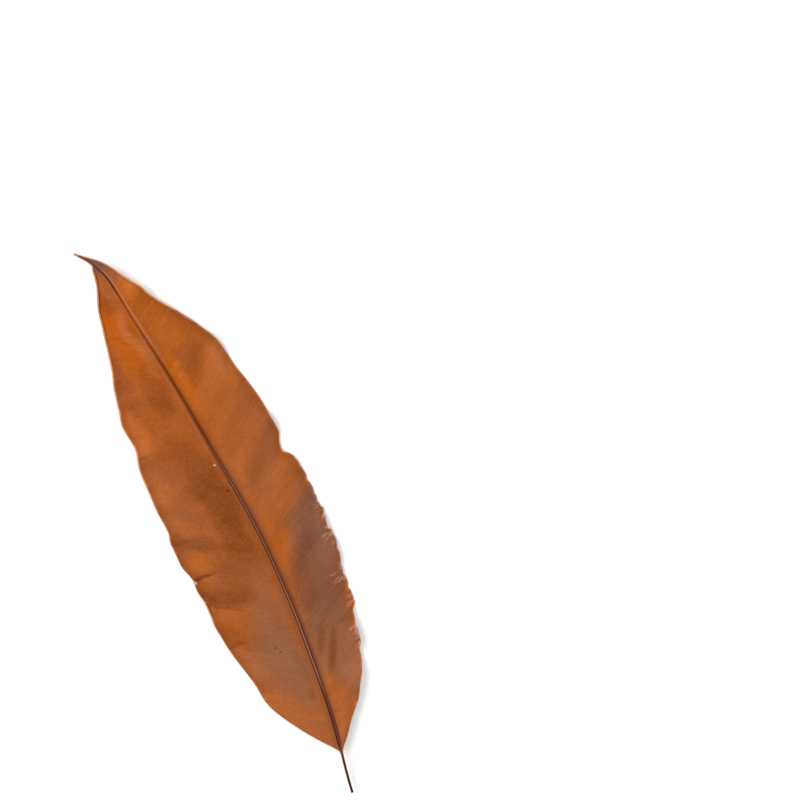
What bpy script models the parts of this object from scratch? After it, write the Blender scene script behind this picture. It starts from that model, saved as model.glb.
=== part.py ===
"""A dried tropical leaf: one long waved blade, its midrib and its cut petiole, grown as one piece.

The leaf lies on a flat surface with its upper face up and its tip towards +Y. The midrib arches, both
halves of the blade rise from it and then droop, and the waved margins touch the surface in a few low lobes.
All sizes are in metres, and +Z is up.
"""

import math

import bmesh
import bpy
from mathutils import Vector

# Driving dimensions
BLADE_LENGTH = 0.300
HALF_WIDTH = {"left": 0.0460, "right": 0.0362}
BLADE_THICKNESS = 0.0008
PETIOLE_LENGTH = 0.022
PETIOLE_RADIUS = 0.0007
PETIOLE_BEND = 0.0062
VEIN_ANGLE = math.radians(62)

# Midrib seen from above: (share of the blade's length, distance to the right of the line from base to tip)
MIDRIB_PLAN = [
    (0.000, 0.0000),
    (0.067, 0.0046),
    (0.167, 0.0093),
    (0.290, 0.0140),
    (0.433, 0.0164),
    (0.583, 0.0152),
    (0.723, 0.0136),
    (0.857, 0.0108),
    (0.927, 0.0096),
    (0.967, 0.0062),
    (1.000, 0.0000),
]

# Midrib seen from the side: (share of the blade's length, height of its crown above the surface)
MIDRIB_HEIGHT = [
    (0.000, 0.0046),
    (0.150, 0.0060),
    (0.400, 0.0068),
    (0.620, 0.0063),
    (0.830, 0.0058),
    (0.930, 0.0068),
    (1.000, 0.0110),
]
PETIOLE_END_HEIGHT = 0.0040

# Margins: (share of the blade's length, share of that side's half width), measured along the side veins
OUTLINE = {
    "left": [
        (0.000, 0.033),
        (0.010, 0.200),
        (0.023, 0.400),
        (0.041, 0.585),
        (0.055, 0.660),
        (0.073, 0.698),
        (0.095, 0.724),
        (0.136, 0.808),
        (0.175, 0.890),
        (0.212, 0.932),
        (0.253, 0.937),
        (0.275, 0.952),
        (0.301, 0.940),
        (0.333, 0.998),
        (0.376, 0.990),
        (0.407, 0.941),
        (0.450, 0.926),
        (0.506, 0.887),
        (0.540, 0.858),
        (0.591, 0.773),
        (0.625, 0.772),
        (0.668, 0.703),
        (0.713, 0.621),
        (0.753, 0.525),
        (0.833, 0.365),
        (0.873, 0.286),
        (0.913, 0.180),
        (0.932, 0.133),
        (0.949, 0.086),
        (0.960, 0.050),
        (0.967, 0.021),
        (1.000, 0.009),
    ],
    "right": [
        (0.000, 0.025),
        (0.017, 0.158),
        (0.033, 0.264),
        (0.041, 0.335),
        (0.052, 0.445),
        (0.067, 0.533),
        (0.087, 0.650),
        (0.114, 0.716),
        (0.122, 0.762),
        (0.136, 0.779),
        (0.163, 0.793),
        (0.174, 0.826),
        (0.184, 0.876),
        (0.205, 0.874),
        (0.240, 0.880),
        (0.273, 0.955),
        (0.301, 0.985),
        (0.309, 0.945),
        (0.320, 0.953),
        (0.339, 0.998),
        (0.348, 0.972),
        (0.376, 0.985),
        (0.430, 0.995),
        (0.450, 0.942),
        (0.464, 0.885),
        (0.474, 0.908),
        (0.489, 0.988),
        (0.543, 0.992),
        (0.600, 0.949),
        (0.628, 0.915),
        (0.678, 0.896),
        (0.729, 0.780),
        (0.775, 0.640),
        (0.833, 0.445),
        (0.850, 0.396),
        (0.867, 0.364),
        (0.893, 0.278),
        (0.916, 0.202),
        (0.957, 0.110),
        (0.975, 0.060),
        (1.000, 0.014),
    ],
}

# Midrib: a rounded cord in a shallow channel above, and a keel below. The cord's rise, the channel's depth
# and the place of the channel's rim are shares of the cord's half width.
RIB_HALF_WIDTH = [
    (0.00, 0.00120),
    (0.30, 0.00100),
    (0.50, 0.00092),
    (0.65, 0.00080),
    (0.80, 0.00060),
    (0.92, 0.00040),
    (1.00, 0.00030),
]
RIB_RISE = 0.5
CHANNEL_DEPTH = 1.1
CHANNEL_RIM = 2.4
KEEL_DEPTH = [(0.00, 0.0012), (0.40, 0.0010), (0.80, 0.0006), (1.00, 0.0002)]

# Lie of the blade: it rises from the channel to a low crest, then droops to the margin, which waves
DROOP = {"left": 0.0068, "right": 0.0067}
DROOP_POWER = 2.2
CREST = {"left": 0.0015, "right": 0.0017}
CREST_PEAK = 6.75
FLOOR_EASE = 0.0004
# Each wave: (wavelength, height, place of a crest), in metres along the blade
MARGIN_WAVES = {
    "left": [(0.068, 0.0012, 0.062), (0.0245, 0.0009, 0.0425), (0.0155, 0.0004, 0.046)],
    "right": [(0.057, 0.0013, 0.033), (0.027, 0.0009, 0.045), (0.0145, 0.0004, 0.052)],
}
WAVE_POWER = 1.8
# The one deep pleat, where the right margin is tucked under
PLEAT_AT = 0.465
PLEAT_DEPTH = 0.0016
PLEAT_HALF_LENGTH = 0.0045
PLEAT_REACH = 0.35
# The dried tail at the tip is folded up along the midrib
TAIL_FROM = 0.95
TAIL_FOLD = 0.0009

# Mesh: points across each half, and rings along the petiole and the blade
RIB_COLUMNS = [0.6, 1.0, CHANNEL_RIM]
BLADE_COLUMNS = [0.18, 0.38, 0.58, 0.76, 0.88, 0.95, 1.0]
PETIOLE_RINGS = 9
# (from, to, rings), as shares of the blade's length
BLADE_RINGS = [(0.0, 0.06, 12), (0.06, 0.90, 76), (0.90, 1.0, 15)]
MERGE_FROM = -0.010
MERGE_TO = 0.012

LEAF_COLOUR = (0.36, 0.105, 0.028, 1.0)
LEAF_ROUGHNESS = 0.5
SHARP_ANGLE = math.radians(50)


def ease(low, high, value):
    """A smooth step from 0 at low to 1 at high."""
    share = min(1.0, max(0.0, (value - low) / (high - low)))
    return share * share * (3 - 2 * share)


def slope_at(points, i):
    """The slope of the smooth curve at one of its points, kept flat at a crest or a hollow."""
    if i in (0, len(points) - 1):
        (x0, y0), (x1, y1) = points[:2] if i == 0 else points[-2:]
        return (y1 - y0) / (x1 - x0)
    (x0, y0), (x1, y1), (x2, y2) = points[i - 1 : i + 2]
    before = (y1 - y0) / (x1 - x0)
    after = (y2 - y1) / (x2 - x1)
    return 2 * before * after / (before + after) if before * after > 0 else 0.0


def smooth_through(points, at):
    """The value at a place on the smooth curve through the points, which never overshoots them."""
    at = min(points[-1][0], max(points[0][0], at))
    i = next(k for k in range(len(points) - 1) if at <= points[k + 1][0])
    (x0, y0), (x1, y1) = points[i], points[i + 1]
    span = x1 - x0
    u = (at - x0) / span
    rise = y0 * (1 + 2 * u) * (1 - u) ** 2 + y1 * u * u * (3 - 2 * u)
    bend = slope_at(points, i) * u * (1 - u) ** 2 - slope_at(points, i + 1) * u * u * (1 - u)
    return rise + span * bend


def midrib_point(along):
    """The midrib seen from above, at a share of the blade's length; a share below 0 is on the petiole."""
    if along >= 0:
        return Vector((smooth_through(MIDRIB_PLAN, along), along * BLADE_LENGTH))
    down = -along * BLADE_LENGTH / PETIOLE_LENGTH
    return Vector((-PETIOLE_BEND * down * (1 - 0.15 * down), -PETIOLE_LENGTH * down))


def midrib_direction(along):
    """The unit vector along the midrib towards the tip, seen from above."""
    step = 0.004
    return (midrib_point(min(1.0, along + step)) - midrib_point(along - step)).normalized()


def crown_height(along):
    """The height of the midrib's crown, or of the petiole's top."""
    if along >= 0:
        return smooth_through(MIDRIB_HEIGHT, along)
    down = -along * BLADE_LENGTH / PETIOLE_LENGTH
    return MIDRIB_HEIGHT[0][1] + (PETIOLE_END_HEIGHT - MIDRIB_HEIGHT[0][1]) * down


def half_width(side, along):
    """The distance along the side veins from the midrib to the margin."""
    return HALF_WIDTH[side] * smooth_through(OUTLINE[side], along)


def margin_wave(side, along, from_margin):
    """How far the margin's waves lift the blade; they run in from the margin square to the midrib."""
    place = along * BLADE_LENGTH - from_margin / math.tan(VEIN_ANGLE)
    return sum(
        height * math.cos(2 * math.pi * (place - crest) / wavelength)
        for wavelength, height, crest in MARGIN_WAVES[side]
    )


def pleat(side, along, across):
    """How far the deep pleat tucks the right margin down."""
    if side == "left":
        return 0.0
    offset = (along - PLEAT_AT) * BLADE_LENGTH / PLEAT_HALF_LENGTH
    return PLEAT_DEPTH * math.exp(-offset * offset) * ease(1 - PLEAT_REACH, 1.0, across)


def above_floor(height):
    """A height that eases to zero at the floor and is exactly zero below it, which makes the resting flats."""
    if height <= -FLOOR_EASE:
        return 0.0
    if height >= FLOOR_EASE:
        return height
    return (height + FLOOR_EASE) ** 2 / (4 * FLOOR_EASE)


def rib_height(across_rib):
    """The upper face near the midrib: the cord's round back, then the channel's side, in cord half widths."""
    if across_rib <= 1:
        return -RIB_RISE * (1 - math.sqrt(1 - across_rib * across_rib))
    return -RIB_RISE + CHANNEL_DEPTH * ease(1, CHANNEL_RIM, across_rib)


def upper_height(side, along, offset, width, rib):
    """The upper face's height at an offset from the midrib along the side veins."""
    crown = crown_height(along)
    rim = min(CHANNEL_RIM * rib, 0.6 * width)
    fullness = width / HALF_WIDTH[side]
    if offset <= rim:
        return crown + rib * rib_height(min(offset / rib, CHANNEL_RIM)) * min(1.0, 4 * fullness)
    across = (offset - rim) / (width - rim)
    start = crown + rib * (CHANNEL_DEPTH - RIB_RISE) * min(1.0, 4 * fullness)
    droop = DROOP[side] * fullness**1.5 * across**DROOP_POWER
    crest = CREST[side] * fullness * CREST_PEAK * across * (1 - across) ** 2
    wave = margin_wave(side, along, width - offset) * min(1.0, 1.3 * fullness) * across**WAVE_POWER
    fold = TAIL_FOLD * ease(TAIL_FROM, 1.0, along) * across
    height = start + crest + wave + fold - droop - pleat(side, along, across)
    return BLADE_THICKNESS + above_floor(height - BLADE_THICKNESS)


def lower_height(upper, along, offset, rib):
    """The lower face's height: the blade's thickness down, and the keel under the midrib."""
    keel = smooth_through(KEEL_DEPTH, along)
    return upper - BLADE_THICKNESS - keel * (1 - ease(0, CHANNEL_RIM * rib, offset))


def column_offsets(width, rib):
    """Distances from the midrib of the points across one half, from the cord's shoulder to the margin."""
    near = min(1.0, 0.6 * width / (CHANNEL_RIM * rib)) * rib
    rim = near * CHANNEL_RIM
    return [share * near for share in RIB_COLUMNS] + [rim + share * (width - rim) for share in BLADE_COLUMNS]


def blade_section(along):
    """Points of the upper and of the lower face across the blade, each from the left margin to the right."""
    at = midrib_point(along)
    forward = midrib_direction(along)
    rightward = Vector((forward.y, -forward.x))
    rib = smooth_through(RIB_HALF_WIDTH, along)
    upper, lower = [], []
    for side, sign in (("left", -1), ("right", 1)):
        width = half_width(side, along)
        vein = sign * rightward + forward / math.tan(VEIN_ANGLE)
        offsets = column_offsets(width, rib)
        near = offsets[1]
        for offset in reversed(offsets) if sign < 0 else [0.0] + offsets:
            place = at + vein * offset
            top = upper_height(side, along, offset, width, near)
            upper.append(Vector((place.x, place.y, top)))
            lower.append(Vector((place.x, place.y, lower_height(top, along, offset, near))))
    return upper, lower


def petiole_section(along, count):
    """Points of the upper and of the lower half of the petiole's round section, from left to right."""
    at = midrib_point(along)
    forward = midrib_direction(along)
    rightward = Vector((forward.y, -forward.x))
    middle = crown_height(along) - PETIOLE_RADIUS
    upper, lower = [], []
    for i in range(count):
        angle = math.pi * (1 - (i + 0.5) / count)
        place = at + rightward * PETIOLE_RADIUS * math.cos(angle)
        lift = PETIOLE_RADIUS * math.sin(angle)
        upper.append(Vector((place.x, place.y, middle + lift)))
        lower.append(Vector((place.x, place.y, middle - lift)))
    return upper, lower


def section(along):
    """The upper and lower points of one section: round on the petiole, flat on the blade, merged between."""
    upper, lower = blade_section(along)
    round_upper, round_lower = petiole_section(along, len(upper))
    blade_share = ease(MERGE_FROM, MERGE_TO, along)
    return (
        [a.lerp(b, blade_share) for a, b in zip(round_upper, upper)],
        [a.lerp(b, blade_share) for a, b in zip(round_lower, lower)],
    )


def ring_places():
    """Shares of the blade's length at which there is a section, from the petiole's cut end to the tip."""
    start = -PETIOLE_LENGTH / BLADE_LENGTH
    places = [start + (0.0 - start) * i / PETIOLE_RINGS for i in range(PETIOLE_RINGS)]
    for first, last, rings in BLADE_RINGS:
        places += [first + (last - first) * i / rings for i in range(rings)]
    return places + [1.0]


def add_strip(bm, low, high, towards_margin):
    """Two triangles for each quad between two rows of points, split the same way on both faces of the blade."""
    for i in range(len(low) - 1):
        a, b, c, d = low[i], low[i + 1], high[i + 1], high[i]
        if towards_margin(i):
            bm.faces.new((a, b, c))
            bm.faces.new((a, c, d))
        else:
            bm.faces.new((a, b, d))
            bm.faces.new((b, c, d))


def add_end(bm, upper, lower):
    """Closes one end of the leaf with a fan of triangles round its middle."""
    ring = upper + lower[::-1]
    middle = bm.verts.new(sum((v.co for v in ring), Vector()) / len(ring))
    for v, w in zip(ring, ring[1:] + ring[:1]):
        bm.faces.new((v, w, middle))


def leaf_mesh():
    """The whole leaf as one closed mesh, lofted through its sections."""
    bm = bmesh.new()
    rows = []
    for along in ring_places():
        rows.append([[bm.verts.new(p) for p in face] for face in section(along)])
    middle = len(rows[0][0]) // 2
    for (low_upper, low_lower), (high_upper, high_lower) in zip(rows, rows[1:]):
        add_strip(bm, low_upper, high_upper, lambda i: i >= middle)
        add_strip(bm, low_lower, high_lower, lambda i: i >= middle)
        for margin in (0, -1):
            low = [low_upper[margin], low_lower[margin]]
            high = [high_upper[margin], high_lower[margin]]
            add_strip(bm, low, high, lambda i: True)
    add_end(bm, *rows[0])
    add_end(bm, *rows[-1])
    bmesh.ops.recalc_face_normals(bm, faces=bm.faces)
    mesh = bpy.data.meshes.new("leaf")
    bm.to_mesh(mesh)
    bm.free()
    mesh.shade_smooth()
    mesh.set_sharp_from_angle(angle=SHARP_ANGLE)
    return mesh


def leaf_material():
    """Rust-brown, dry and leathery."""
    material = bpy.data.materials.new("dried_leaf")
    material.use_nodes = True
    shader = material.node_tree.nodes["Principled BSDF"]
    shader.inputs["Base Color"].default_value = LEAF_COLOUR
    shader.inputs["Roughness"].default_value = LEAF_ROUGHNESS
    shader.inputs["Metallic"].default_value = 0.0
    return material


def centre_on_origin(leaf):
    """Stands the leaf with the middle of its box over the origin and its lowest flats on Z = 0."""
    places = [v.co for v in leaf.data.vertices]
    for axis in (0, 1):
        values = [p[axis] for p in places]
        leaf.location[axis] = -(min(values) + max(values)) / 2


def main():
    for obj in list(bpy.data.objects):
        bpy.data.objects.remove(obj)
    leaf = bpy.data.objects.new("leaf", leaf_mesh())
    leaf.data.materials.append(leaf_material())
    bpy.context.scene.collection.objects.link(leaf)
    centre_on_origin(leaf)


main()
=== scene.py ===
"""Looks of a dried tropical leaf, lying on a pale floor with its upper face up and its tip towards +Y."""

import math

import bpy
import numpy as np
from mathutils import Matrix, Vector


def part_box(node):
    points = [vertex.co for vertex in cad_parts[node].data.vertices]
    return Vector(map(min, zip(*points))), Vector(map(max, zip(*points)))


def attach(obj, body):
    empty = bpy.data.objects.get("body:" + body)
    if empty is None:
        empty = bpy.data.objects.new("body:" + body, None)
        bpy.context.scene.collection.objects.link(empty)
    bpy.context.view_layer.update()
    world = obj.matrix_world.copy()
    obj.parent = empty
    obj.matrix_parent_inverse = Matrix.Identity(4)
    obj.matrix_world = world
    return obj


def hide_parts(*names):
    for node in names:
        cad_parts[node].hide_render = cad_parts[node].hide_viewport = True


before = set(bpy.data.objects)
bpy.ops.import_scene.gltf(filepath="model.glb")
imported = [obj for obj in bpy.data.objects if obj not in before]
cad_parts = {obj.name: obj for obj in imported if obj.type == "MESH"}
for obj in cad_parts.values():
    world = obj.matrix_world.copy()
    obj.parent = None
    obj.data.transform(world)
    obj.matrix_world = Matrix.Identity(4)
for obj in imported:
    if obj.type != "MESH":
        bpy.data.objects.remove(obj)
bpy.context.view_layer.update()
low_corner, high_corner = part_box("leaf")

# The leaf: its form
# A real one is a single growth: two waved halves of a leathery blade on either side of the midrib, a
# narrow shrivelled tail, and a round stalk, cut short. It starts as a flat grid, gets its second face from
# Solidify, and each of its points is then moved to its place on the dried, arched and crimped blade.

BLADE_LENGTH = 0.300
HALF_WIDTH = {"left": 0.0460, "right": 0.0362}
# Along the blade (share of its length): the midrib's distance to the right of the line from base to tip
MIDRIB_PLAN = [
    (0.000, 0.0000),
    (0.067, 0.0046),
    (0.167, 0.0093),
    (0.290, 0.0140),
    (0.433, 0.0164),
    (0.583, 0.0152),
    (0.723, 0.0136),
    (0.857, 0.0108),
    (0.927, 0.0096),
    (0.967, 0.0062),
    (1.000, 0.0000),
]
# The same for the height of the midrib's crown above the floor
MIDRIB_HEIGHT = [
    (0.000, 0.0046),
    (0.150, 0.0060),
    (0.400, 0.0068),
    (0.620, 0.0063),
    (0.830, 0.0058),
    (0.930, 0.0068),
    (1.000, 0.0110),
]
# The same for the margins, as a share of that side's half width, measured along the side veins
OUTLINE = {
    "left": [
        (0.000, 0.033),
        (0.010, 0.200),
        (0.023, 0.400),
        (0.041, 0.585),
        (0.055, 0.660),
        (0.073, 0.698),
        (0.095, 0.724),
        (0.136, 0.808),
        (0.175, 0.890),
        (0.212, 0.932),
        (0.253, 0.937),
        (0.275, 0.952),
        (0.301, 0.940),
        (0.333, 0.998),
        (0.376, 0.990),
        (0.407, 0.941),
        (0.450, 0.926),
        (0.506, 0.887),
        (0.540, 0.858),
        (0.591, 0.773),
        (0.625, 0.772),
        (0.668, 0.703),
        (0.713, 0.621),
        (0.753, 0.525),
        (0.833, 0.365),
        (0.873, 0.286),
        (0.913, 0.180),
        (0.932, 0.133),
        (0.949, 0.086),
        (0.960, 0.050),
        (0.967, 0.021),
        (1.000, 0.009),
    ],
    "right": [
        (0.000, 0.025),
        (0.017, 0.158),
        (0.033, 0.264),
        (0.041, 0.335),
        (0.052, 0.445),
        (0.067, 0.533),
        (0.087, 0.650),
        (0.114, 0.716),
        (0.122, 0.762),
        (0.136, 0.779),
        (0.163, 0.793),
        (0.174, 0.826),
        (0.184, 0.876),
        (0.205, 0.874),
        (0.240, 0.880),
        (0.273, 0.955),
        (0.301, 0.985),
        (0.309, 0.945),
        (0.320, 0.953),
        (0.339, 0.998),
        (0.348, 0.972),
        (0.376, 0.985),
        (0.430, 0.995),
        (0.450, 0.942),
        (0.464, 0.885),
        (0.474, 0.908),
        (0.489, 0.988),
        (0.543, 0.992),
        (0.600, 0.949),
        (0.628, 0.915),
        (0.678, 0.896),
        (0.729, 0.780),
        (0.775, 0.640),
        (0.833, 0.445),
        (0.850, 0.396),
        (0.867, 0.364),
        (0.893, 0.278),
        (0.916, 0.202),
        (0.957, 0.110),
        (0.975, 0.060),
        (1.000, 0.014),
    ],
}
# The side veins' angle to the midrib, and how far they run towards the tip for their way out
VEIN_ANGLE = math.radians(62)
VEIN_LEAN = 1 / math.tan(VEIN_ANGLE)


def ease(low, high, value):
    """A smooth step from 0 at low to 1 at high."""
    share = np.clip((value - low) / (high - low), 0, 1)
    return share * share * (3 - 2 * share)


def smooth_through(points, at):
    """Values on the smooth curve through the points, which never overshoots them."""
    xs, ys = np.array(points).T
    steps = np.diff(ys) / np.diff(xs)
    same_way = steps[:-1] * steps[1:] > 0
    total = np.where(same_way, steps[:-1] + steps[1:], 1)
    slopes = np.concatenate(
        [steps[:1], np.where(same_way, 2 * steps[:-1] * steps[1:] / total, 0), steps[-1:]]
    )
    i = np.clip(np.searchsorted(xs, at, side="right") - 1, 0, len(steps) - 1)
    span = xs[i + 1] - xs[i]
    u = np.clip((at - xs[i]) / span, 0, 1)
    rise = ys[i] * (1 + 2 * u) * (1 - u) ** 2 + ys[i + 1] * u * u * (3 - 2 * u)
    return rise + span * (slopes[i] * u * (1 - u) ** 2 - slopes[i + 1] * u * u * (1 - u))


# The stalk, a plain rod of which 22 mm are left below the blade. It leans to the left, by a share
# less at its cut end.
STALK_LENGTH = 0.022
STALK_RADIUS = 0.0007
STALK_BEND = 0.0062
STALK_CURVE = 0.15
STALK_END_HEIGHT = 0.0040


def midrib_place(along):
    """The midrib or the stalk seen from above; shares below 0 are on the stalk."""
    down = np.clip(-along, 0, None) * BLADE_LENGTH / STALK_LENGTH
    stalk_part = -STALK_BEND * down * (1 - STALK_CURVE * down)
    across = np.where(along < 0, stalk_part, smooth_through(MIDRIB_PLAN, along))
    return np.stack([across, along * BLADE_LENGTH], axis=-1)


def crown_height(along):
    """The height of the midrib's crown, or of the stalk's top."""
    down = np.clip(-along, 0, None) * BLADE_LENGTH / STALK_LENGTH
    first = MIDRIB_HEIGHT[0][1]
    stalk_part = first + (STALK_END_HEIGHT - first) * down
    return np.where(along < 0, stalk_part, smooth_through(MIDRIB_HEIGHT, along))


# Starting grid: columns from margin to margin, rows from the stalk's cut end to the tip
COLUMNS = 86
ROWS = 540
# Where the rows lie: (share of the rows, share of the blade's length), closest along the crimped margin
ROW_PLACES = [
    (0.0, -STALK_LENGTH / BLADE_LENGTH),
    (0.02, -0.018),
    (0.06, 0.025),
    (0.52, 0.42),
    (0.92, 0.93),
    (1.0, 1.0),
]

bpy.ops.object.select_all(action="DESELECT")
bpy.ops.mesh.primitive_grid_add(x_subdivisions=COLUMNS, y_subdivisions=ROWS, size=2)
leaf = bpy.context.object
leaf.name = "dried_leaf"
leaf.data.name = "dried_leaf"
solidify = leaf.modifiers.new("second_face", "SOLIDIFY")
solidify.thickness = 1.0
solidify.offset = 0
bpy.ops.object.modifier_apply(modifier=solidify.name)

points = np.empty(len(leaf.data.vertices) * 3)
leaf.data.vertices.foreach_get("co", points)
points = points.reshape(-1, 3)
column = points[:, 0]
row = (points[:, 1] + 1) / 2
upper = points[:, 2] > 0
along = np.interp(row, *zip(*ROW_PLACES))
length_along = along * BLADE_LENGTH
right_side = column > 0
on_side = {"left": ~right_side, "right": right_side}


def by_side(pair):
    """The value for the side that each point is on."""
    return np.where(right_side, pair["right"], pair["left"])


# Half width of the midrib's cord at each share of the blade's length
RIB_HALF_WIDTH = [
    (0.00, 0.00120),
    (0.30, 0.00100),
    (0.50, 0.00092),
    (0.65, 0.00080),
    (0.80, 0.00060),
    (0.92, 0.00040),
    (1.00, 0.00030),
]
# Shares of the cord's half width: its rise, the depth of the channel it lies in, and the channel's rim
RIB_RISE = 0.5
CHANNEL_DEPTH = 1.1
CHANNEL_RIM = 2.4
RIM_STRIP = 0.0012
# Where the blade is narrow, the channel and the strip along the rim take at most these shares of it
CHANNEL_SHARE = 0.6
STRIP_SHARE = 0.3
# How far out the cord, the channel and the strip's inner edge are, as shares of the columns
COLUMNS_ON_RIB = 0.14
COLUMNS_TO_CHANNEL_RIM = 0.26
COLUMNS_TO_RIM_STRIP = 0.86

# Crimps of the right margin, each a few short uneven ridges that run in from it: (place along, half length)
CRIMPS = [
    (0.0360, 0.0040),
    (0.0445, 0.0036),
    (0.0575, 0.0030),
    (0.0700, 0.0040),
    (0.0900, 0.0040),
    (0.1040, 0.0050),
]
RIDGES_PER_CRIMP = 5
RIDGE_HEIGHT = 0.00036
# What each ridge is drawn from: its width, how far in it reaches, its slant and its strength. Where ridges
# lie on each other, their strengths add up to no more than the last value.
RIDGE_WIDTHS = (0.0007, 0.0012)
RIDGE_REACHES = (0.0015, 0.0045)
RIDGE_SLANTS = (0.1, 1.1)
RIDGE_STRENGTHS = (0.3, 1.0)
HIGHEST_PILE = 1.2


def crimp_ridges(inwards):
    """How high the ridges stand at a distance in from the right margin; the draw is the same each time."""
    draw = np.random.default_rng(5)
    total = np.zeros(len(along))
    for crimp_at, half_length in CRIMPS:
        for _ in range(RIDGES_PER_CRIMP):
            at_margin = crimp_at + half_length * draw.uniform(-1, 1)
            ridge_width = draw.uniform(*RIDGE_WIDTHS)
            reach = draw.uniform(*RIDGE_REACHES)
            slant = draw.uniform(*RIDGE_SLANTS)
            distance = length_along - at_margin - slant * inwards
            ridge = np.exp(-((distance / ridge_width) ** 2) - inwards / reach)
            total += draw.uniform(*RIDGE_STRENGTHS) * ridge
    return RIDGE_HEIGHT * right_side * np.minimum(total, HIGHEST_PILE)


width = by_side({side: HALF_WIDTH[side] * smooth_through(OUTLINE[side], along) for side in OUTLINE})
# Along the crimps the margin is also a little uneven: (wavelength, height) of each small wave in its
# outline, and the places between which they come in and go out
NIBBLES = [(0.0093, 0.00022), (0.0061, 0.00020), (0.0037, 0.00012)]
NIBBLES_START = (0.020, 0.040)
NIBBLES_END = (0.115, 0.145)
nibbled = ease(*NIBBLES_START, length_along) * (1 - ease(*NIBBLES_END, length_along))
for i, (wavelength, height) in enumerate(NIBBLES):
    width += right_side * nibbled * height * np.sin(2 * math.pi * length_along / wavelength + 2 * i)
# What each side's width is against its widest, which scales how far it droops and waves
fullness = width / by_side(HALF_WIDTH)

rib = smooth_through(RIB_HALF_WIDTH, along)
rib = np.minimum(rib, CHANNEL_SHARE * width / CHANNEL_RIM)
channel_rim = rib * CHANNEL_RIM
strip_start = width - np.minimum(RIM_STRIP, STRIP_SHARE * width)
# Where the columns lie: (share of the columns on that side, distance from the midrib)
column_places = [
    (0, 0),
    (COLUMNS_ON_RIB, rib),
    (COLUMNS_TO_CHANNEL_RIM, channel_rim),
    (COLUMNS_TO_RIM_STRIP, strip_start),
    (1, width),
]
outward = np.abs(column)
offset = np.zeros(len(along))
for (start, near), (end, far) in zip(column_places, column_places[1:]):
    offset += (far - near) * np.clip((outward - start) / (end - start), 0, 1)
across = np.clip((offset - channel_rim) / (width - channel_rim), 0, 1)

# Lie of the blade: it rises from the channel to a low crest, then droops to the margin, which waves
DROOP = {"left": 0.0068, "right": 0.0067}
DROOP_POWER = 2.2
DROOP_FULLNESS = 1.5
CREST = {"left": 0.0015, "right": 0.0017}
# The crest's curve is highest a third of the way out, and this brings it to a height of 1
CREST_PEAK = 6.75
# Each wave: (wavelength, height, place of a crest), in metres along the blade
MARGIN_WAVES = {
    "left": [(0.068, 0.0012, 0.062), (0.0245, 0.0009, 0.0425), (0.0155, 0.0004, 0.046)],
    "right": [(0.057, 0.0013, 0.033), (0.027, 0.0009, 0.045), (0.0145, 0.0004, 0.052)],
}
WAVE_POWER = 1.8
# The one deep pleat, where the right margin is tucked under: its place and reach are shares of the blade's
# length and of its half width
PLEAT_AT = 0.465
PLEAT_DEPTH = 0.0016
PLEAT_HALF_LENGTH = 0.0045
PLEAT_REACH = 0.35
# The dried tail at the tip is folded up along the midrib
TAIL_FROM = 0.95
TAIL_FOLD = 0.0009
# Relief is lower where the blade is narrow: by the fullness times this, where that is less than 1
MIDRIB_FADE = 4
WAVE_FADE = 1.3
SWELL_FADE = 1.5
BLADE_THICKNESS = 0.0005
CAD_THICKNESS = 0.0008

rib_share = np.clip(offset / rib, 0, 1)
cord = -RIB_RISE * (1 - np.sqrt(1 - rib_share**2))
channel = CHANNEL_DEPTH * ease(1, CHANNEL_RIM, offset / rib)
midrib_relief = rib * (cord + channel) * np.minimum(1, MIDRIB_FADE * fullness)
droop = by_side(DROOP) * fullness**DROOP_FULLNESS * across**DROOP_POWER
crest = by_side(CREST) * fullness * CREST_PEAK * across * (1 - across) ** 2
wave = np.zeros(len(along))
wave_place = length_along - VEIN_LEAN * (width - offset)
for side, here in on_side.items():
    for wavelength, height, crest_at in MARGIN_WAVES[side]:
        wave += here * height * np.cos(2 * math.pi * (wave_place - crest_at) / wavelength)
wave *= np.minimum(1, WAVE_FADE * fullness) * across**WAVE_POWER
pleat = PLEAT_DEPTH * np.exp(-(((along - PLEAT_AT) * BLADE_LENGTH / PLEAT_HALF_LENGTH) ** 2))
pleat *= right_side * ease(1 - PLEAT_REACH, 1.0, across)
fold = TAIL_FOLD * ease(TAIL_FROM, 1.0, along) * across

# Creases where the drying blade buckled: (place at the margin, place at the inner end, the inner end's
# distance from the midrib, depth, half width), in metres, with the places along the blade
CREASES = {
    "left": [
        (0.0910, 0.0985, 0.0250, 0.00080, 0.0013),
        (0.1687, 0.1730, 0.0260, 0.00050, 0.0009),
        (0.0495, 0.0570, 0.0260, 0.00060, 0.0016),
        (0.1120, 0.1200, 0.0240, 0.00040, 0.0024),
    ],
    "right": [
        (0.0490, 0.0570, 0.0130, 0.00040, 0.0018),
        (0.1230, 0.1330, 0.0200, 0.00035, 0.0020),
    ],
}
DEEPEST_CREASE = 0.0008
# The least run, from the inner end to the margin, that a crease is taken to have, and its inner end's share
# of its width
SHORTEST_CREASE = 0.001
INNER_WIDTH = 0.4
crease = np.zeros(len(along))
for side, here in on_side.items():
    for at_margin, at_inner, inner_offset, depth, half_width in CREASES[side]:
        share = np.clip((offset - inner_offset) / np.maximum(width - inner_offset, SHORTEST_CREASE), 0, 1)
        line = at_inner + (at_margin - at_inner) * share
        width_here = half_width * (INNER_WIDTH + (1 - INNER_WIDTH) * share)
        profile = np.exp(-(((length_along - line) / width_here) ** 2))
        crease += here * depth * profile * ease(0, 0.5, share)

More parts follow.
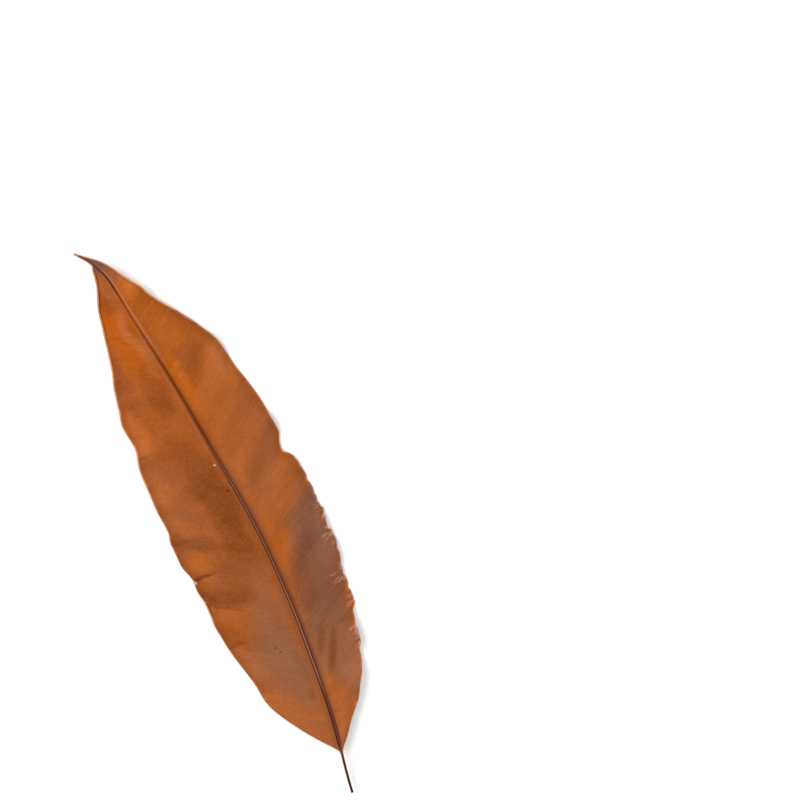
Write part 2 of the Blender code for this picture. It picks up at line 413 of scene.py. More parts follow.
# Low, uneven swells over the whole blade, from a fixed draw of waves that run in all directions
SWELLS = 14
SWELL_HEIGHT = 0.00022
SWELL_LENGTHS = (0.016, 0.046)
draw = np.random.default_rng(41)
swell = np.zeros(len(along))
signed_offset = np.where(right_side, offset, -offset)
for _ in range(SWELLS):
    heading = draw.uniform(0, math.pi)
    wavelength = draw.uniform(*SWELL_LENGTHS)
    phase = draw.uniform(0, 2 * math.pi)
    travel = length_along * math.cos(heading) + signed_offset * math.sin(heading)
    swell += SWELL_HEIGHT * np.sin(2 * math.pi * travel / wavelength + phase)
swell *= ease(0, 0.2, across) * np.minimum(1, SWELL_FADE * fullness)

# The side veins lift the surface a little, and the margin ends in a thin rolled bead
VEIN_SPACING = 0.0034
VEIN_RELIEF = 0.00003
BEAD_HEIGHT = 0.00022
BEAD_WIDTH = 0.0006
# The veins aren't quite even: (by how much, over what length), across the blade and along it
WANDER_ACROSS = (0.25, 0.007)
WANDER_ALONG = (0.30, 0.011)
vein_wander = WANDER_ACROSS[0] * np.sin(signed_offset / WANDER_ACROSS[1])
vein_wander += WANDER_ALONG[0] * np.sin(length_along / WANDER_ALONG[1])
veins = VEIN_RELIEF * np.sin(2 * math.pi * length_along / VEIN_SPACING + vein_wander)
veins *= ease(0.02, 0.2, across)
from_margin = width - offset
bead = BEAD_HEIGHT * np.exp(-((from_margin / BEAD_WIDTH) ** 2)) * ease(0.0, 0.2, fullness)
ridges = crimp_ridges(from_margin)

upper_height = crown_height(along) + midrib_relief + crest + wave + fold - droop - pleat
upper_height += swell - crease + veins + ridges
# Where that would sink into the floor, the blade lies flat on it, and bends into that softly, over this
# height
FLOOR_EASE = 0.0004
clearance = upper_height - CAD_THICKNESS
clearance = np.where(
    clearance <= -FLOOR_EASE,
    0,
    np.where(clearance >= FLOOR_EASE, clearance, (clearance + FLOOR_EASE) ** 2 / (4 * FLOOR_EASE)),
)
upper_height = BLADE_THICKNESS + clearance + bead

# The keel under the midrib, and the blade's two faces closing towards the margin
KEEL_DEPTH = [(0.00, 0.0012), (0.40, 0.0010), (0.80, 0.0006), (1.00, 0.0002)]
EDGE_THICKNESS = 0.00022
EDGE_TAPER = 0.0005
keel = smooth_through(KEEL_DEPTH, along) * (1 - ease(0, CHANNEL_RIM, offset / rib))
thickness = EDGE_THICKNESS + (BLADE_THICKNESS - EDGE_THICKNESS) * ease(0, EDGE_TAPER, from_margin)
lower_height = upper_height - thickness - keel
lower_height = np.maximum(lower_height, 0)

# Place of each point: out from the midrib along the side veins, which lean towards the tip. The midrib's
# direction is taken over a short step, a share of the blade's length, to either side.
DIRECTION_STEP = 0.004
forward = midrib_place(np.minimum(1, along + DIRECTION_STEP)) - midrib_place(along - DIRECTION_STEP)
forward /= np.linalg.norm(forward, axis=1)[:, None]
rightward = np.stack([forward[:, 1], -forward[:, 0]], axis=-1)
side_sign = np.where(right_side, 1, -1)[:, None]
place = midrib_place(along) + offset[:, None] * (side_sign * rightward + VEIN_LEAN * forward)
height = np.where(upper, upper_height, lower_height)

# Where the blade's base meets the stalk, the flat section turns into a round one
MERGE_FROM = -0.010
MERGE_TO = 0.012
angle = math.pi * (1 - (column + 1 + 1 / COLUMNS) / (2 + 2 / COLUMNS))
stalk_place = midrib_place(along) + rightward * (STALK_RADIUS * np.cos(angle))[:, None]
stalk_height = crown_height(along) - STALK_RADIUS + np.where(upper, 1, -1) * STALK_RADIUS * np.sin(angle)
blade_share = ease(MERGE_FROM, MERGE_TO, along)
place = stalk_place + (place - stalk_place) * blade_share[:, None]
height = stalk_height + (height - stalk_height) * blade_share

points = np.stack([place[:, 0], place[:, 1], height], axis=-1)
middle = (points.min(axis=0) + points.max(axis=0))[:2] / 2
box_middle = np.array((low_corner + high_corner)[:2]) / 2
shift = box_middle - middle
points[:, :2] += shift
leaf.data.vertices.foreach_set("co", points.astype(np.float32).ravel())

# The stalk's cut end and the tip are closed by Solidify's own rim faces. Faces then point out, and only
# edges sharper than this stay sharp.
SHARP_ANGLE = math.radians(60)
bpy.ops.object.mode_set(mode="EDIT")
bpy.ops.mesh.select_all(action="SELECT")
bpy.ops.mesh.normals_make_consistent(inside=False)
bpy.ops.object.mode_set(mode="OBJECT")
bpy.ops.object.shade_smooth_by_angle(angle=SHARP_ANGLE)

# The leaf: its finish
# Dried upper faces are rust-brown and satin, mottled from orange to grey-brown, with fine streaks along the
# side veins, a dark midrib with a painted mauve highlight, and a pale, thin margin, partly a painted
# highlight.
# Painted shade, highlights and sheen also lie in the colour, where the blade's form turns it towards the
# light and away from it. The lower face is duller and paler.
# The pattern follows the blade, so the mesh carries where each point is on it.

on_blade = leaf.data.attributes.new("on_blade", "FLOAT_VECTOR", "POINT")
on_blade_values = np.stack([signed_offset, length_along, ridges / RIDGE_HEIGHT], axis=-1)
on_blade.data.foreach_set("vector", on_blade_values.astype(np.float32).ravel())
edge_facts = leaf.data.attributes.new("edge_facts", "FLOAT_VECTOR", "POINT")
edge_values = np.stack([from_margin, offset / rib, upper.astype(float)], axis=-1)
edge_facts.data.foreach_set("vector", edge_values.astype(np.float32).ravel())
creased = leaf.data.attributes.new("creased", "FLOAT", "POINT")
creased.data.foreach_set("value", (crease / DEEPEST_CREASE).astype(np.float32))


def paint(red, green, blue):
    """A colour as a paint chart gives it, from 0 to 255, for a shader."""
    chart = [value / 255 for value in (red, green, blue)]
    return tuple(c / 12.92 if c <= 0.04045 else ((c + 0.055) / 1.055) ** 2.4 for c in chart) + (1.0,)


class Tone:
    """A value or colour inside the leaf's material, so that its pattern is written as plain maths."""

    def __init__(self, socket):
        self.socket = socket

    def node(self, kind, settings, sockets, output=0):
        """Adds a node beside this one, with its settings and then its sockets' values or links."""
        tree = self.socket.id_data
        new = tree.nodes.new(kind)
        for name, value in settings.items():
            setattr(new, name, value)
        for name, value in sockets.items():
            if isinstance(value, Tone):
                tree.links.new(value.socket, new.inputs[name])
            else:
                new.inputs[name].default_value = value
        return Tone(new.outputs[output])

    def maths(self, operation, first, second=0.0):
        return self.node("ShaderNodeMath", {"operation": operation}, {0: first, 1: second})

    def __add__(self, other):
        return self.maths("ADD", self, other)

    __radd__ = __add__

    def __mul__(self, other):
        return self.maths("MULTIPLY", self, other)

    __rmul__ = __mul__

    def __sub__(self, other):
        return self.maths("SUBTRACT", self, other)

    def __rsub__(self, other):
        return self.maths("SUBTRACT", other, self)

    def size(self):
        """The value without its sign."""
        return self.maths("ABSOLUTE", self)

    def times_plus(self, factor, addend):
        """The value times a factor, plus an addend, as one node."""
        return self.node("ShaderNodeMath", {"operation": "MULTIPLY_ADD"}, {0: self, 1: factor, 2: addend})

    def ease(self, low, high):
        """A smooth step from 0 at low to 1 at high, or back where low is the larger."""
        reverse = low > high
        settings = {"interpolation_type": "SMOOTHSTEP"}
        sockets = {
            "Value": self,
            "From Min": min(low, high),
            "From Max": max(low, high),
            "To Min": 1.0 if reverse else 0.0,
            "To Max": 0.0 if reverse else 1.0,
        }
        return self.node("ShaderNodeMapRange", settings, sockets)

    def mixed(self, share, colour, how="MIX"):
        """This colour with a share of another laid over it."""
        settings = {"data_type": "RGBA", "blend_type": how}
        return self.node("ShaderNodeMix", settings, {0: share, 6: self, 7: colour}, output=2)


material = bpy.data.materials.new("dried_leaf")
material.use_nodes = True
tree = material.node_tree
shader = tree.nodes["Principled BSDF"]


def attribute_parts(name):
    """The three values that an attribute of the mesh holds."""
    attribute = tree.nodes.new("ShaderNodeAttribute")
    attribute.attribute_name = name
    split = tree.nodes.new("ShaderNodeSeparateXYZ")
    tree.links.new(attribute.outputs["Vector"], split.inputs[0])
    return [Tone(output) for output in split.outputs]


# Where a point is on the blade, in metres: out from the midrib, with the left half below 0, and up along it
# from the base to where the point's side vein leaves it. Each ease below names the two places or values
# between which a look comes in or goes out.
out, up, crimped = attribute_parts("on_blade")
margin_distance, rib_distance, upper_face = attribute_parts("edge_facts")
creased_node = tree.nodes.new("ShaderNodeAttribute")
creased_node.attribute_name = "creased"
creased_here = Tone(creased_node.outputs["Fac"])
coordinates = tree.nodes.new("ShaderNodeTexCoord")
where = Tone(coordinates.outputs["Object"])


def mottle(place, scale, detail=3.0, roughness=0.55):
    """Soft uneven patches, from 0 to 1."""
    sockets = {"Vector": place, "Scale": scale, "Detail": detail, "Roughness": roughness}
    return out.node("ShaderNodeTexNoise", {}, sockets)


def stretched(along_scale, out_scale, lift=0.0):
    """A place on the blade in which the side veins are long and straight."""
    return out.node("ShaderNodeCombineXYZ", {}, {"X": out * out_scale, "Y": up * along_scale, "Z": lift})


# Colours of the dried blade, its midrib and its margin
RUST = paint(166, 84, 26)
ORANGE = paint(184, 92, 6)
DEEP_ORANGE = paint(178, 84, 0)
PINK_ORANGE = paint(182, 98, 40)
PINK_BROWN = paint(166, 93, 51)
RED_BROWN = paint(152, 76, 30)
BROWN = paint(120, 56, 12)
LIGHT_ORANGE = paint(198, 108, 44)
# The next two colour patches that are partly painted sheen
SHEEN_GREY_BROWN = paint(126, 83, 61)
SHEEN_TAUPE = paint(138, 90, 61)
MAUVE = paint(148, 94, 69)
DARK_RIB = paint(66, 26, 12)
TAIL = paint(106, 80, 72)
RIB_SHINE = paint(160, 112, 96)
RIB_BASE = paint(104, 60, 50)
PALE_PINK = paint(172, 107, 76)
PALE_RIM = paint(216, 146, 104)
PEACH = paint(192, 112, 64)
# The crimps' pale marks, painted highlights
CRIMP_HIGHLIGHT = paint(204, 152, 122)
BEIGE = paint(210, 158, 112)
CREAM = paint(232, 178, 146)

# Uneven patterns, of which wander and fray also move the edges of what lies on the blade
wander = mottle(where, 45.0) - 0.5
fray = mottle(where, 240.0, roughness=0.65) - 0.5
broad = mottle(where, 32.0, detail=2.0)
middling = mottle(where, 110.0, detail=4.0)
leathery = mottle(where, 620.0, detail=2.0)
grain = mottle(where, 1500.0, roughness=0.7)
pale_grain = mottle(where, 2300.0, detail=2.0)
streaks = mottle(stretched(640.0, 40.0), 1.0, detail=4.0, roughness=0.6)
wide_streaks = mottle(stretched(190.0, 26.0, 3.0), 1.0, detail=2.0)

# The ground is rust-brown, with broad and middling patches
colour = Tone(tree.nodes.new("ShaderNodeRGB").outputs[0])
colour.socket.default_value = RUST
colour = colour.mixed(broad.ease(0.42, 0.68) * 0.45, RED_BROWN)
colour = colour.mixed(middling.ease(0.50, 0.76) * 0.26, BROWN)
colour = colour.mixed(middling.ease(0.50, 0.28) * 0.30, PINK_ORANGE)


def oval(x, y, at_x, at_y, half_x, half_y, heading=0.0):
    """The square of the distance from an oval's middle, where its edge is at 1."""
    cosine = math.cos(math.radians(heading))
    sine = math.sin(math.radians(heading))
    lengthwise = x.times_plus(cosine / half_x, -(at_x * cosine + at_y * sine) / half_x)
    crosswise = y.times_plus(cosine / half_y, (at_x * sine - at_y * cosine) / half_y)
    if heading:
        lengthwise = y.times_plus(sine / half_x, lengthwise)
        crosswise = x.times_plus(-sine / half_y, crosswise)
    return crosswise.times_plus(crosswise, lengthwise * lengthwise)


def spotted(ground, spots, x, y, outer, inner=0.0):
    """The ground with each spot laid over it, from nothing at the outer edge to all at the inner one."""
    for chart_colour, strength, *shape in spots:
        share = oval(x, y, *shape).ease(outer, inner) * strength
        ground = ground.mixed(share, chart_colour)
    return ground


wandering_out = out + wander * 0.016 + fray * 0.005
wandering_up = up + wander * 0.024 + fray * 0.006

# Patches: (colour, strength, distance out from the midrib, distance along it from the base to their side
# vein, half width, half length). The grey-brown and taupe ones are partly the blade's colour and partly
# painted sheen; the brown ones on the left half within 25 mm of the midrib, between 0.12 and 0.22 m along,
# are painted shade on the wall of its valley; the light orange and peach ones near the right margin about
# 0.2 m along are painted light over the shade of the margin's wave
PATCHES = [
    (PINK_BROWN, 0.75, 0.022, 0.150, 0.024, 0.048),
    (PINK_BROWN, 0.60, -0.034, 0.130, 0.018, 0.060),
    (PINK_BROWN, 0.85, -0.004, 0.020, 0.050, 0.044),
    (MAUVE, 0.45, -0.012, 0.074, 0.014, 0.040),
    (BROWN, 0.35, -0.006, 0.0315, 0.003, 0.004),
    (DEEP_ORANGE, 1.00, -0.012, 0.250, 0.014, 0.040),
    (ORANGE, 0.55, 0.010, 0.262, 0.014, 0.020),
    (ORANGE, 0.30, 0.014, 0.176, 0.016, 0.040),
    (ORANGE, 1.00, 0.003, 0.210, 0.006, 0.022),
    (LIGHT_ORANGE, 0.70, -0.034, 0.184, 0.013, 0.013),
    (ORANGE, 0.45, 0.012, 0.232, 0.010, 0.014),
    (ORANGE, 0.60, -0.035, 0.100, 0.012, 0.005),
    (ORANGE, 0.45, -0.037, 0.086, 0.008, 0.005),
    (ORANGE, 0.40, 0.009, 0.114, 0.009, 0.018),
    (ORANGE, 0.75, 0.006, 0.032, 0.005, 0.014),
    (ORANGE, 0.60, 0.032, 0.137, 0.006, 0.005),
    (ORANGE, 0.75, 0.029, 0.058, 0.005, 0.012),
    (PEACH, 0.50, -0.005, 0.244, 0.0045, 0.026),
    (LIGHT_ORANGE, 0.85, 0.026, 0.197, 0.014, 0.018),
    (LIGHT_ORANGE, 0.60, 0.033, 0.204, 0.010, 0.012),
    (PINK_ORANGE, 0.85, 0.025, 0.127, 0.012, 0.010),
    (PINK_ORANGE, 0.75, 0.016, 0.190, 0.012, 0.014),
    (LIGHT_ORANGE, 0.65, 0.008, 0.275, 0.008, 0.015),
    (LIGHT_ORANGE, 0.45, 0.012, 0.232, 0.008, 0.010),
    (PINK_ORANGE, 0.50, -0.032, 0.146, 0.010, 0.008),
    (PINK_ORANGE, 0.40, -0.034, 0.124, 0.010, 0.007),
    (PINK_ORANGE, 0.30, -0.036, 0.068, 0.010, 0.007),
    (PALE_PINK, 0.35, -0.031, 0.042, 0.009, 0.010),
    (PINK_ORANGE, 0.40, -0.022, 0.018, 0.016, 0.010),
    (BROWN, 0.45, -0.010, 0.208, 0.006, 0.020),
    (BROWN, 0.30, -0.024, 0.214, 0.006, 0.020),
    (BROWN, 0.50, -0.008, 0.270, 0.006, 0.016),
    (BROWN, 0.70, -0.010, 0.150, 0.011, 0.032),
    (BROWN, 0.25, -0.022, 0.150, 0.014, 0.050),
    (BROWN, 0.60, -0.013, 0.120, 0.010, 0.028),
    (BROWN, 0.70, -0.032, 0.082, 0.016, 0.009),
    (BROWN, 0.60, -0.035, 0.113, 0.014, 0.008),
    (BROWN, 0.45, -0.025, 0.096, 0.012, 0.014),
    (BROWN, 0.80, -0.041, 0.078, 0.007, 0.006),
    (RED_BROWN, 0.50, -0.038, 0.206, 0.010, 0.024),
    (BROWN, 0.30, -0.030, 0.056, 0.014, 0.006),
    (BROWN, 0.30, -0.034, 0.028, 0.010, 0.005),
    (BROWN, 0.30, 0.015, 0.214, 0.010, 0.012),
    (SHEEN_GREY_BROWN, 0.90, 0.031, 0.102, 0.018, 0.026),
    (SHEEN_GREY_BROWN, 0.75, 0.021, 0.082, 0.018, 0.030),
    (SHEEN_TAUPE, 0.75, 0.015, 0.056, 0.018, 0.034),
    (SHEEN_TAUPE, 0.70, -0.015, 0.048, 0.015, 0.032),
    (BROWN, 0.40, 0.012, 0.082, 0.007, 0.016),
    (PALE_PINK, 0.85, 0.0195, 0.031, 0.010, 0.016),
    (MAUVE, 0.70, 0.032, 0.092, 0.009, 0.024),
    (LIGHT_ORANGE, 0.45, 0.008, 0.012, 0.008, 0.012),
    (MAUVE, 0.75, 0.005, 0.287, 0.006, 0.012),
    (PINK_BROWN, 0.55, -0.004, 0.277, 0.004, 0.012),
    (LIGHT_ORANGE, 0.45, -0.027, 0.191, 0.007, 0.010),
    (PEACH, 0.60, 0.030, 0.201, 0.007, 0.010),
    (MAUVE, 0.70, -0.005, 0.287, 0.004, 0.009),
]
colour = spotted(colour, PATCHES, wandering_out, wandering_up, 1.2)

# Smaller spots are a little darker or more orange
colour = colour.mixed(fray.ease(0.02, 0.20) * 0.12, BROWN)
colour = colour.mixed(fray.ease(-0.02, -0.20) * 0.12, LIGHT_ORANGE)

# Painted shade darkens the blade towards its margins, and a painted shadow of the midrib lies beside it on
# the right
left_half = out.ease(0.0002, -0.0002)
right_half = 1.0 - left_half
painted_margin_shade = margin_distance.ease(0.0065, 0.0) * up.ease(0.015, 0.050) * up.ease(0.265, 0.215)
painted_margin_shade = painted_margin_shade * (0.45 - right_half * up.ease(0.135, 0.115) * 0.35)
colour = colour.mixed(painted_margin_shade, BROWN)
colour = colour.mixed(out.ease(0.0065, 0.0010) * right_half * up.ease(0.035, 0.060) * 0.30, BROWN)

# Creases get painted shade along their bottom
colour = colour.mixed(creased_here.ease(0.15, 0.9) * 0.6, BROWN)

# Streaks along the side veins, and a fine grain
upper_half = up.ease(0.150, 0.250)
shade = 0.85 + (streaks - 0.5) * (0.20 + upper_half * 0.25) + wide_streaks * 0.20 + middling * 0.04
shade = shade * (0.87 + grain * 0.24)
colour = colour.mixed(1.0, shade, "MULTIPLY")
tip_veins = streaks.ease(0.54, 0.72) * up.ease(0.225, 0.255) * up.ease(0.288, 0.278) * right_half
colour = colour.mixed(tip_veins * 0.45, LIGHT_ORANGE)
# A pale leathery mottle and a fine pale grain, more of it in the lower half
lower_pale_grain = up.ease(0.250, 0.120) * 0.04 + 0.02
colour = colour.mixed(leathery.ease(0.42, 0.68) * 0.05 + pale_grain.ease(0.42, 0.70) * lower_pale_grain, BEIGE)

# Round specks, which don't wander
SPECKS = [
    (DARK_RIB, 0.60, -0.0038, 0.1490, 0.0009, 0.0009),
    (DARK_RIB, 0.60, -0.0161, 0.0545, 0.0007, 0.0007),
    (DARK_RIB, 0.60, -0.0143, 0.0525, 0.0006, 0.0006),
    (CREAM, 0.85, -0.0028, 0.1648, 0.0007, 0.0007),
    (CREAM, 0.85, -0.0428, 0.0899, 0.0011, 0.0011),
    (CREAM, 0.85, -0.0425, 0.0768, 0.0009, 0.0009),
]
colour = spotted(colour, SPECKS, out, up, 1.4, 0.2)

# The midrib: a bright strip beside it on the left, a painted highlight where the channel's lip catches the
# light, and a soft dark one on the right, a painted shadow; sharp dark flanks, partly its own colour and
# partly painted shade; and along the lower half a mauve shine on its back, a painted highlight
lower_half = up.ease(0.185, 0.150)
base_end = up.ease(0.048, 0.020)
tip_end = up.ease(0.215, 0.250)
strip = rib_distance.ease(1.0, 1.3) * rib_distance.ease(3.4, 2.0) * left_half
colour = colour.mixed(strip * (1.0 - lower_half) * 0.75, PEACH)
# Painted light on the channel's left wall in the lower half, against the shade that its slope gets
painted_wall_light = rib_distance.ease(1.0, 1.3) * rib_distance.ease(2.3, 1.8) * left_half * lower_half
colour = colour.mixed(painted_wall_light * 0.70, PEACH)
right_strip = rib_distance.ease(1.2, 1.7) * rib_distance.ease(5.0, 3.0) * right_half * tip_end
colour = colour.mixed(right_strip * 0.60, PEACH)
shadow = rib_distance.ease(3.6, 1.2) * right_half * (1.0 - base_end * 0.7) * (1.0 - tip_end)
colour = colour.mixed(shadow * (1.0 - lower_half) * 0.55, BROWN)
colour = colour.mixed(shadow * lower_half * 0.60, RIB_BASE)
# The flanks' dark is partly the midrib's own colour and partly painted shade, deeper on the left
flank = rib_distance.ease(1.06, 0.76) * (0.62 + (left_half * 0.36 - right_half * 0.14) * lower_half)
colour = colour.mixed(flank * (1.0 - tip_end * 0.40), DARK_RIB)
tip_rib = up.ease(0.262, 0.276) * out.size().ease(0.0009, 0.0003)
colour = colour.mixed(tip_rib * 0.75, DARK_RIB)
# Painted highlight along the midrib's back
back = rib_distance.ease(0.50, 0.12) * lower_half * up.ease(0.026, 0.045)
colour = colour.mixed(back * (0.20 + streaks * 0.7 + up.ease(0.115, 0.065) * 0.35), RIB_SHINE)
base_back = base_end * out.ease(-0.0006, -0.0001) * rib_distance.ease(1.05, 0.75)
colour = colour.mixed(base_back * 0.80, RIB_BASE)

# The margin: a pale rolled rim, partly its own paler colour and partly a painted highlight where it catches
# the light, with a dark line of painted shadow inside it near the tip
left_rim = up.ease(0.118, 0.150) * 0.7 + up.ease(0.062, 0.068) * up.ease(0.084, 0.078) * 1.1 + 0.45
right_rim = up.ease(0.205, 0.250) * 0.7 + up.ease(0.134, 0.138) * up.ease(0.152, 0.146) * 0.7 + 0.32
rim_strength = left_half * left_rim + right_half * right_rim
rim = margin_distance.ease(0.0009, 0.0005)
# Painted shadow of the rolled rim, in a thin dark line just inside it
painted_rim_shadow = margin_distance.ease(0.0007, 0.0009) * margin_distance.ease(0.0017, 0.0011)
painted_rim_shadow = painted_rim_shadow * (up.ease(0.215, 0.275) + up.ease(0.066, 0.070) * up.ease(0.084, 0.080) * left_half)
colour = colour.mixed(painted_rim_shadow * (0.30 + left_half * 0.45), DARK_RIB)
colour = colour.mixed(rim * rim_strength * (0.20 + wide_streaks * 1.10), PALE_RIM)
colour = colour.mixed(margin_distance.ease(0.0006, 0.0002) * up.ease(0.034, 0.022) * 0.45, DARK_RIB)

# Pale marks on the crimps' crests, slanting in from the right margin: painted highlights where the crests
# catch the light
slanted = out.node(
    "ShaderNodeCombineXYZ", {}, {"X": (up + out * 0.8) * 900.0, "Y": (out - up * 0.8) * 300.0, "Z": 5.0}
)
crimp_highlights = mottle(slanted, 1.0, detail=2.0).ease(0.50, 0.66)
crimp_zone = crimped.ease(0.05, 0.6)
for crimp_at, half_length in CRIMPS:
    crimp_zone = crimp_zone + (up - crimp_at).size().ease(half_length * 1.5, half_length * 0.5) * 0.7
crimp_zone = crimp_zone * margin_distance.ease(0.0060, 0.0010) * out.ease(0.0, 0.002)
colour = colour.mixed(crimp_zone * crimp_highlights * 0.45, CRIMP_HIGHLIGHT)

# Single folds, the ones in the rib's dark colour painted shade along a fold and the pale ones painted
# highlights on its crest: (colour, strength, distance straight out from the midrib, distance along it from
# the base, half length, half width, heading in degrees from straight out)
FOLDS = [
    (DARK_RIB, 0.45, -0.0405, 0.1134, 0.0024, 0.0009, -3),
    (DARK_RIB, 0.24, -0.0372, 0.1138, 0.0060, 0.0010, -6),
    (BROWN, 0.55, 0.0118, 0.0515, 0.0130, 0.0024, 66),
    (BROWN, 0.35, 0.0086, 0.0600, 0.0110, 0.0024, 68),
    (DARK_RIB, 0.30, 0.0256, 0.0877, 0.0011, 0.0004, 21),
    (DARK_RIB, 0.30, 0.0264, 0.0858, 0.0011, 0.0004, 20),
    (DARK_RIB, 0.30, 0.0288, 0.0884, 0.0013, 0.0005, 50),
    (DARK_RIB, 0.30, 0.0334, 0.1014, 0.0012, 0.0004, 47),
    (DARK_RIB, 0.30, 0.0338, 0.1192, 0.0016, 0.0005, 56),
    (DARK_RIB, 0.30, 0.0309, 0.0768, 0.0010, 0.0005, 20),
    (DARK_RIB, 0.35, 0.0264, 0.0526, 0.0010, 0.0005, 17),
    (DARK_RIB, 0.30, 0.0258, 0.0580, 0.0013, 0.0005, 53),
    (CRIMP_HIGHLIGHT, 0.65, 0.0313, 0.0853, 0.0019, 0.0007, 42),
    (CRIMP_HIGHLIGHT, 0.45, 0.0291, 0.0852, 0.0025, 0.0007, 35),
    (CRIMP_HIGHLIGHT, 0.40, 0.0275, 0.0863, 0.0021, 0.0006, 22),
    (CRIMP_HIGHLIGHT, 0.35, 0.0262, 0.0886, 0.0020, 0.0006, 16),
    (CRIMP_HIGHLIGHT, 0.30, 0.0257, 0.0848, 0.0018, 0.0006, 13),
    (CRIMP_HIGHLIGHT, 0.40, 0.0308, 0.1084, 0.0025, 0.0007, 23),
    (CRIMP_HIGHLIGHT, 0.30, 0.0312, 0.1060, 0.0020, 0.0006, 23),
    (CRIMP_HIGHLIGHT, 0.45, 0.0342, 0.1075, 0.0021, 0.0012, 44),
    (CRIMP_HIGHLIGHT, 0.35, 0.0333, 0.1027, 0.0016, 0.0007, 38),
    (CRIMP_HIGHLIGHT, 0.40, 0.0345, 0.1175, 0.0020, 0.0010, 53),
    (CRIMP_HIGHLIGHT, 0.60, 0.0274, 0.0590, 0.0016, 0.0008, -78),
    (CRIMP_HIGHLIGHT, 0.70, 0.0274, 0.0558, 0.0028, 0.0008, -94),
    (CRIMP_HIGHLIGHT, 0.40, 0.0265, 0.0566, 0.0016, 0.0006, 53),
    (CRIMP_HIGHLIGHT, 0.35, 0.0249, 0.0587, 0.0013, 0.0007, 52),
    (CRIMP_HIGHLIGHT, 0.55, 0.0261, 0.0503, 0.0021, 0.0007, 46),
    (CRIMP_HIGHLIGHT, 0.55, 0.0269, 0.0502, 0.0016, 0.0007, -80),
    (CRIMP_HIGHLIGHT, 0.30, 0.0318, 0.0923, 0.0019, 0.0008, -93),
    (LIGHT_ORANGE, 0.50, 0.0306, 0.0802, 0.0023, 0.0011, -92),
    (CRIMP_HIGHLIGHT, 0.30, 0.0288, 0.0713, 0.0020, 0.0014, 24),
    (CRIMP_HIGHLIGHT, 0.45, 0.0140, 0.0220, 0.0016, 0.0009, 62),
]
folds_out = out + fray * 0.0016
folds_up = up + out.size() * VEIN_LEAN + middling * 0.0016 - 0.0008
colour = spotted(colour, FOLDS, folds_out, folds_up, 1.4)

# The dried tail is grey-brown, with beige edges and end, and a cream painted highlight along its left edge
tail = up.ease(0.281, 0.290)
colour = colour.mixed(tail * margin_distance.ease(0.0001, 0.0005) * 0.80, TAIL)
colour = colour.mixed(tail * tip_rib * 0.5, DARK_RIB)
colour = colour.mixed(tail * margin_distance.ease(0.0007, 0.0004) * 0.85, BEIGE)
painted_tail_highlight = margin_distance.ease(0.0008, 0.0004) * left_half * fray.ease(-0.10, 0.10)
colour = colour.mixed(tail * painted_tail_highlight, CREAM)
colour = colour.mixed(up.ease(0.2970, 0.2985) * 0.8, BEIGE)
stalk = up.ease(0.003, -0.004)
colour = colour.mixed(stalk * 0.9, DARK_RIB)

# The lower face: duller and paler, and less streaked
UNDERSIDE = paint(150, 98, 62)
lower = colour.mixed(0.65, UNDERSIDE).mixed(flank, DARK_RIB)
colour = lower.mixed(upper_face.ease(0.3, 0.7), colour)

# It is satin, with a fine relief of streaks and grain
tree.links.new(colour.socket, shader.inputs["Base Color"])
rough = 0.42 + streaks * 0.10 + middling * 0.10 - back * 0.08
tree.links.new(rough.socket, shader.inputs["Roughness"])
shader.inputs["Metallic"].default_value = 0.0
shader.inputs["Specular IOR Level"].default_value = 0.06

relief = streaks * 0.6 + grain * 0.3 + wide_streaks * 0.4 + fray * 1.2
bump = out.node("ShaderNodeBump", {}, {"Strength": 0.5, "Distance": 0.0003, "Height": relief})
tree.links.new(bump.socket, shader.inputs["Normal"])
leaf.data.materials.append(material)

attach(leaf, "root")
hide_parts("leaf")

# Floor, light and camera
# The leaf lies on a white sheet under a large soft light on its left, and is seen from straight above,
# turned so that its tip points to the upper left of the frame.

# How wide the view is, and its middle, measured from the blade's base and in height from the floor
FRAME_WIDTH = 0.425
FRAME_MIDDLE = (0.1158, 0.1501)
FRAME_HEIGHT = 0.006
FRAME_RIGHT = Vector((0.8811, -0.4729, 0.0))
FRAME_UP = Vector((0.4729, 0.8811, 0.0))
UPWARDS = Vector((0.0, 0.0, 1.0))
LENS = 150.0
SENSOR = 36.0
FLOOR_SIZE = 8.0

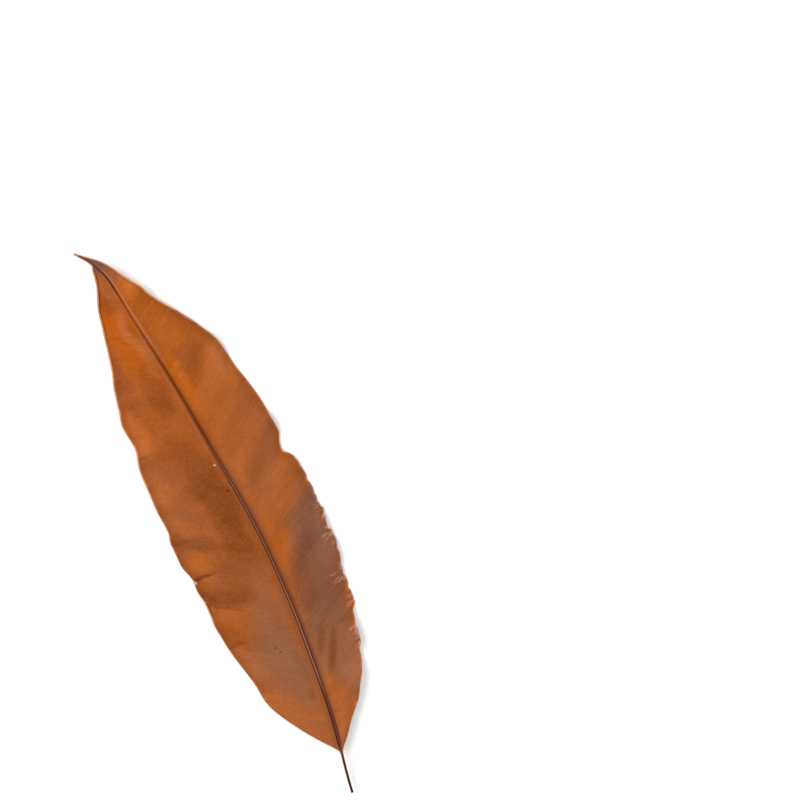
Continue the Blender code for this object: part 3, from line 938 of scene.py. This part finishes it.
floor_material = bpy.data.materials.new("white_sheet")
floor_material.use_nodes = True
floor_shader = floor_material.node_tree.nodes["Principled BSDF"]
floor_shader.inputs["Base Color"].default_value = (0.93, 0.93, 0.93, 1.0)
floor_shader.inputs["Roughness"].default_value = 0.9
floor_shader.inputs["Specular IOR Level"].default_value = 0.2
floor_shader.inputs["Emission Color"].default_value = (1.0, 1.0, 1.0, 1.0)
floor_shader.inputs["Emission Strength"].default_value = 0.20
bpy.ops.object.select_all(action="DESELECT")
bpy.ops.mesh.primitive_plane_add(size=FLOOR_SIZE)
floor = bpy.context.object
floor.name = "floor"
floor.data.materials.append(floor_material)

aim = Vector((shift[0] + FRAME_MIDDLE[0], shift[1] + FRAME_MIDDLE[1], FRAME_HEIGHT))
camera_data = bpy.data.cameras.new("camera")
camera_data.lens = LENS
camera_data.sensor_width = SENSOR
camera_data.clip_end = 50.0
camera = bpy.data.objects.new("camera", camera_data)
bpy.context.scene.collection.objects.link(camera)
camera.matrix_world = Matrix.Translation(aim + UPWARDS * (FRAME_WIDTH * LENS / SENSOR)) @ Matrix(
    (FRAME_RIGHT, FRAME_UP, UPWARDS)
).transposed().to_4x4()
bpy.context.scene.camera = camera


def soft_light(name, direction, distance, size, watts, tint):
    """A square softbox that faces the leaf."""
    data = bpy.data.lights.new(name, "AREA")
    data.size = size
    data.energy = watts
    data.color = tint
    lamp = bpy.data.objects.new(name, data)
    bpy.context.scene.collection.objects.link(lamp)
    lamp.location = direction.normalized() * distance
    lamp.rotation_euler = direction.to_track_quat("Z", "Y").to_euler()


soft_light(
    "key",
    direction=-FRAME_RIGHT + FRAME_UP * 0.35 + UPWARDS,
    distance=1.6,
    size=1.0,
    watts=17.0,
    tint=(1.0, 0.985, 0.96),
)
soft_light(
    "fill",
    direction=FRAME_RIGHT * 0.9 - FRAME_UP * 0.4 + UPWARDS * 1.2,
    distance=2.2,
    size=1.6,
    watts=5.0,
    tint=(0.96, 0.98, 1.0),
)

world = bpy.data.worlds.new("studio")
bpy.context.scene.world = world
world.use_nodes = True
world.node_tree.nodes["Background"].inputs["Color"].default_value = (1.0, 1.0, 1.0, 1.0)
world.node_tree.nodes["Background"].inputs["Strength"].default_value = 0.60
bpy.context.scene.view_settings.view_transform = "Standard"
